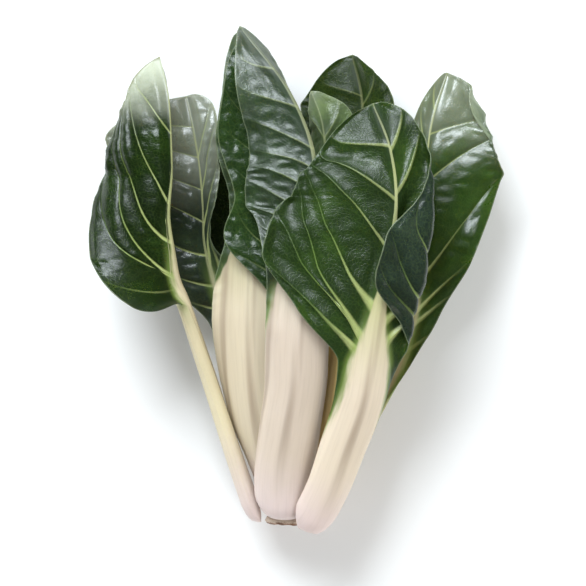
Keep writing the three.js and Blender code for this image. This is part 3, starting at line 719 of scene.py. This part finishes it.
def bladeGroup():  # patchy green of the two sides; its dark and light patches are partly its own uneven tone and partly painted shade and painted light
    tree, g, given, end = newGroup("bladeGreen", [
        ("Inner", srgb(bladeFinish["inner"])), ("Outer", srgb(bladeFinish["outer"])),
        ("Young", srgb(bladeFinish["young"])), ("Patches", bladeFinish["patches"])], [
        ("Color", "NodeSocketColor"), ("Tone", "NodeSocketFloat")])
    plane = g.uv("plane")
    colour = g.mix(g.read("inside"), given["Outer"], given["Inner"])
    wide = g.noise(plane, bladeFinish["wide"], 3.0, 0.6)
    small = g.noise(plane, bladeFinish["small"], 3.0, 0.6)
    dark = g.mix(1.0, colour, bladeFinish["dark"], "MULTIPLY")
    light = g.mix(1.0, colour, bladeFinish["light"], "MULTIPLY")
    share = bladeFinish["smallShare"]
    tone = g.math("MULTIPLY_ADD", small, share, g.math("MULTIPLY", wide, 1 - share))
    # dark and light patches: partly uneven green, partly painted shade and painted light
    colour = g.mix(g.math("MULTIPLY", g.ramp(tone, 0.3, 0.7), given["Patches"]), colour, dark)
    colour = g.mix(g.math("MULTIPLY", g.ramp(tone, 0.5, 0.3), given["Patches"]), colour, light)
    low = g.ramp(g.read("height"), 0.45, 0.65, 1.0, 0.0)
    near = g.math("MULTIPLY", g.ramp(g.read("white"), 0.0, 7.0, 0.35, 0.0), low)
    colour = g.mix(near, colour, given["Young"])
    g.put(end, "Color", colour)
    g.put(end, "Tone", tone)
    return tree


groups = {"veins": veinGroup(), "stalk": stalkGroup(), "blade": bladeGroup()}

leafFinish = dict(
    vein="B2BC78", veinFar="708A44", rib="A8AD78", edge="8E9C78", band="7E9446",
    # pale is the colour of the painted sheen, a painted highlight on the tips; dry is the dried brown very
    # end of a tip
    tipSheenColour="BFC5AE", dry="77765C",
    netTone=0.08, sideTone=0.95, bandTone=0.75, edgeTone=0.4,  # how strong each shows
    duller=0.08,  # extra roughness of the outer side, and again of the stalk
    bump=0.4, depth=0.0008,
    under=0.05, underColour=(1.0, 0.7, 0.35), underDepth=0.004)  # light under the skin


def leafMaterial(name, leaf):
    material, g = newMaterial(name + "_skin")

    def place(key, **inputs):
        return g.node("ShaderNodeGroup", {"node_tree": groups[key]}, **inputs)

    veins = place("veins", Base_Width=leaf["veinBase"])
    stalk = place("stalk", Top_Start=leaf["white"] - 0.02, Middle=srgb(leaf["flesh"]))
    blade = place("blade", Inner=srgb(leaf["inner"]), Outer=srgb(leaf["outer"]))
    height, white, margin, inside = (g.read(k) for k in ("height", "white", "margin", "inside"))
    colour = blade.outputs["Color"]
    uneven = g.math("MULTIPLY_ADD", blade.outputs["Tone"], 0.12, height)
    # the tip is painted paler, a painted highlight standing in for the sheen on the drooping tips; the dried
    # brown edge below is the leaf's own
    tip = g.math("MULTIPLY", g.ramp(uneven, leaf["tipSheenFrom"], leaf["tipSheenFrom"] + 0.2), leaf["tipSheen"])
    colour = g.mix(tip, colour, srgb(leafFinish["tipSheenColour"]))
    end = g.math("MULTIPLY", g.ramp(margin, 2.5, 0.5), tip)
    colour = g.mix(end, colour, srgb(leafFinish["dry"]))
    net = g.math("MULTIPLY", veins.outputs["Net"], leafFinish["netTone"])
    colour = g.mix(net, colour, srgb(leafFinish["veinFar"]))
    far = g.mix(g.ramp(white, 0.0, 45.0), srgb(leafFinish["vein"]), srgb(leafFinish["veinFar"]))
    side = g.math("MULTIPLY", veins.outputs["Side"], leafFinish["sideTone"] * leaf["veinTone"])
    colour = g.mix(side, colour, far)
    band = g.math("MULTIPLY", g.ramp(white, 6.0, 0.0), g.ramp(height, 0.42, 0.58, 1.0, 0.0))
    colour = g.mix(g.math("MULTIPLY", band, leafFinish["bandTone"]), colour, srgb(leafFinish["band"]))
    top = g.ramp(height, leaf["whiteTop"] + 0.1, leaf["whiteTop"] + 0.3)
    flesh = g.mix(top, stalk.outputs["Color"], srgb(leafFinish["rib"]))
    ribTone = g.math("MULTIPLY", veins.outputs["Rib"], g.ramp(top, 0.0, 1.0, 1.0, leaf["veinTone"]))
    ribTone = g.math("MULTIPLY", ribTone, g.ramp(height, 0.8, 1.0, 1.0, 0.3))
    colour = g.mix(ribTone, colour, flesh)
    rim = g.math("MULTIPLY", g.ramp(margin, 0.9, 0.2), g.ramp(height, 0.3, 0.45))
    colour = g.mix(g.math("MULTIPLY", rim, leafFinish["edgeTone"]), colour, srgb(leafFinish["edge"]))

    gloss = g.ramp(blade.outputs["Tone"], 0.3, 0.7, leaf["shine"] - 0.04, leaf["shine"] + 0.1)
    outside = g.math("SUBTRACT", 1.0, inside)
    rough = g.math("MULTIPLY_ADD", outside, leafFinish["duller"], gloss)
    rough = g.math("MULTIPLY_ADD", veins.outputs["Rib"], leafFinish["duller"], rough)
    flip = g.ramp(inside, 0.0, 1.0, 1.0, -0.6)
    relief = g.math("MULTIPLY", veins.outputs["Relief"], flip)
    relief = g.math("ADD", g.math("MULTIPLY", veins.outputs["Rib"], stalk.outputs["Relief"]), relief)
    bump = g.node("ShaderNodeBump", Strength=leafFinish["bump"], Distance=leafFinish["depth"], Height=relief)
    shader = g.node("ShaderNodeBsdfPrincipled", Base_Color=colour, Roughness=rough, Normal=bump.outputs[0])
    shader.inputs["Specular IOR Level"].default_value = leaf["gloss"]
    shader.inputs["Subsurface Weight"].default_value = leafFinish["under"]
    shader.inputs["Subsurface Radius"].default_value = leafFinish["underColour"]
    shader.inputs["Subsurface Scale"].default_value = leafFinish["underDepth"]
    g.node("ShaderNodeOutputMaterial", Surface=shader.outputs[0])
    return material


for name, leaf in leaves.items():
    piece = makeLeaf(name, leaf)
    piece.data.materials.append(leafMaterial(name, leaf))
    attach(piece, "root")
    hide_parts(name)
    print("leaf", name, len(piece.data.polygons))

# the crown, the short solid stem that the leaves grow from, with its dried cut face; its profile is
# radius and depth behind the cut, in mm
crown = dict(
    profile=[(12, 0), (14, 0.8), (15, 2.2), (13.5, 5), (9.5, 8.5), (6, 14), (3, 20), (0.6, 21)],
    sides=72, inset=2.0, cutRough=0.5, cutDepth=2, uneven=0.035,
    cut="8A5A30", rim="5E3B22", flesh="D8C6B2", roughness=0.7, bump=0.7, depth=0.0012,
    coarse=260.0, fine=900.0, dryFrom=0.0035, dryTo=0.006)  # grain of the cut; where its brown ends, m


def makeCrown():
    profile = crown["profile"]
    bm = bmesh.new()
    bmesh.ops.create_circle(bm, cap_ends=True, radius=profile[0][0] * mm, segments=crown["sides"])
    bmesh.ops.inset_region(bm, faces=bm.faces[:], thickness=crown["inset"] * mm)
    ring = [e for e in bm.edges if e.is_boundary]
    for (r0, y0), (r1, y1) in zip(profile, profile[1:]):
        out = bmesh.ops.extrude_edge_only(bm, edges=ring)["geom"]
        ring = [e for e in out if isinstance(e, bmesh.types.BMEdge) and e.is_boundary]
        verts = list({v for e in ring for v in e.verts})
        bmesh.ops.scale(bm, vec=(r1 / r0, r1 / r0, 1), verts=verts)
        bmesh.ops.translate(bm, vec=(0, 0, (y1 - y0) * mm), verts=verts)
    bmesh.ops.contextual_create(bm, geom=ring)
    cap = [f for f in bm.faces if len(f.verts) > 4]
    bmesh.ops.poke(bm, faces=cap)
    bmesh.ops.subdivide_edges(bm, edges=bm.edges[:], cuts=1, use_grid_fill=True)
    bmesh.ops.recalc_face_normals(bm, faces=bm.faces[:])
    bmesh.ops.rotate(bm, cent=(0, 0, 0), matrix=Matrix.Rotation(-math.pi / 2, 3, "X"), verts=bm.verts[:])
    mesh = bpy.data.meshes.new("crown_stem")
    bm.to_mesh(mesh)
    bm.free()
    co = np.empty(len(mesh.vertices) * 3)
    mesh.vertices.foreach_get("co", co)
    co = co.reshape(-1, 3)
    angle = np.arctan2(co[:, 2], co[:, 0]) / math.tau * 9
    onCut = co[:, 1] < crown["cutDepth"] * mm
    co[:, 1] += mm * crown["cutRough"] * patches(co[:, 0] / mm / 3.5, co[:, 2] / mm / 3.5, 5) * onCut
    wide = 1 + crown["uneven"] * patches(angle + 40, co[:, 1] / mm / 3, 6)
    co[:, 0] *= wide
    co[:, 2] *= wide
    centre = np.array([(crownLow.x + crownHigh.x) / 2, crownLow.y, (crownLow.z + crownHigh.z) / 2])
    mesh.vertices.foreach_set("co", (co + centre).astype(np.float32).ravel())
    return newPiece("crown_stem", mesh)


def crownMaterial():
    material, g = newMaterial("crown_cut")
    place = g.node("ShaderNodeTexCoord").outputs["Object"]
    where = g.node("ShaderNodeSeparateXYZ", Vector=place)
    depth = g.math("SUBTRACT", where.outputs["Y"], crownLow.y)
    rough = g.noise(place, crown["coarse"], 4.0, 0.65)
    fine = g.noise(place, crown["fine"], 3.0, 0.6)
    ragged = g.math("MULTIPLY_ADD", rough, 0.006, depth)
    dry = g.ramp(ragged, crown["dryFrom"], crown["dryTo"], 1.0, 0.0)
    cut = g.mix(g.ramp(rough, 0.35, 0.65), srgb(crown["rim"]), srgb(crown["cut"]))
    cut = g.mix(g.math("MULTIPLY", g.ramp(fine, 0.5, 0.8), 0.5), cut, srgb(crown["flesh"]))
    colour = g.mix(dry, srgb(crown["flesh"]), cut)
    relief = g.math("MULTIPLY_ADD", fine, 0.4, rough)
    bump = g.node("ShaderNodeBump", Strength=crown["bump"], Distance=crown["depth"], Height=relief)
    shader = g.node("ShaderNodeBsdfPrincipled", Base_Color=colour, Roughness=crown["roughness"],
                    Normal=bump.outputs[0])
    g.node("ShaderNodeOutputMaterial", Surface=shader.outputs[0])
    return material


stem = makeCrown()
stem.data.materials.append(crownMaterial())
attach(stem, "root")
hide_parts("crown")
print("crown", len(stem.data.polygons))

studio = dict(
    height=1.6, lens=151.2, sensor=36, over=(-2.5, 152.5),  # the camera; over: what it looks down on
    floor="F4F4F2", floorHalf=4, floorRoughness=0.7,
    target=(0, 0, 0.03),  # what both lights point at
    window=dict(power=42.0, size=(1.1, 0.75), place=(-0.58, 1.25, 1.32), colour=(0.86, 0.93, 1.0)),
    wall=dict(power=10.5, size=(1.5, 1.1), place=(0.95, -0.55, 1.15), colour=(1.0, 1.0, 1.0)),
    air=(0.97, 0.985, 1.0, 1), around=0.47, low=1.3, zenith=0.5, glow=1.2, glowFrom=(-0.36, 0.79, 0.5))


def areaLight(name):
    look = studio[name]
    light = bpy.data.objects.new(name, bpy.data.lights.new(name, "AREA"))
    light.data.shape = "RECTANGLE"
    light.data.size, light.data.size_y = look["size"]
    light.data.energy = look["power"]
    light.data.color = look["colour"]
    light.location = look["place"]
    way = Vector(studio["target"]) - light.location
    light.rotation_euler = way.to_track_quat("-Z", "Y").to_euler()
    scene.collection.objects.link(light)
    return light


def makeStudio():
    bm = bmesh.new()
    bmesh.ops.create_grid(bm, x_segments=1, y_segments=1, size=studio["floorHalf"])
    mesh = bpy.data.meshes.new("floor")
    bm.to_mesh(mesh)
    bm.free()
    floor = bpy.data.objects.new("floor", mesh)
    scene.collection.objects.link(floor)
    material = bpy.data.materials.new("floor_white")
    material.use_nodes = True
    shader = material.node_tree.nodes["Principled BSDF"]
    shader.inputs["Base Color"].default_value = srgb(studio["floor"])
    shader.inputs["Roughness"].default_value = studio["floorRoughness"]
    mesh.materials.append(material)

    camera = bpy.data.objects.new("camera", bpy.data.cameras.new("camera"))
    x, y = studio["over"]
    camera.location = (headZero[0] + x * mm, headZero[1] + y * mm, studio["height"])
    camera.rotation_euler = (0, 0, 0)
    camera.data.lens = studio["lens"]
    camera.data.sensor_width = studio["sensor"]
    scene.collection.objects.link(camera)
    scene.camera = camera

    areaLight("window")
    areaLight("wall").visible_glossy = False

    # the air is dim overhead and bright low down and behind the window; like the wall it isn't mirrored
    # in anything, so the leaves shine only where they mirror the window
    world = bpy.data.worlds.new("studio")
    scene.world = world
    world.use_nodes = True
    world.cycles_visibility.glossy = False
    g = Tree(world.node_tree)
    way = g.node("ShaderNodeTexCoord").outputs["Generated"]
    up = g.node("ShaderNodeSeparateXYZ", Vector=way).outputs["Z"]
    toward = g.node("ShaderNodeVectorMath", {"operation": "DOT_PRODUCT"}, _0=way, _1=studio["glowFrom"])
    level = g.math("ADD", g.ramp(up, 0.5, 0.1, 0.0, studio["low"]), studio["around"])
    level = g.math("MULTIPLY", level, g.ramp(up, 0.84, 0.6, studio["zenith"], 1.0))
    level = g.math("ADD", level, g.ramp(toward.outputs["Value"], 0.87, 0.97, 0.0, studio["glow"]))
    background = world.node_tree.nodes["Background"]
    g.put(background, "Color", studio["air"])
    g.put(background, "Strength", level)
    scene.view_settings.view_transform = "Standard"


makeStudio()
print("studio")
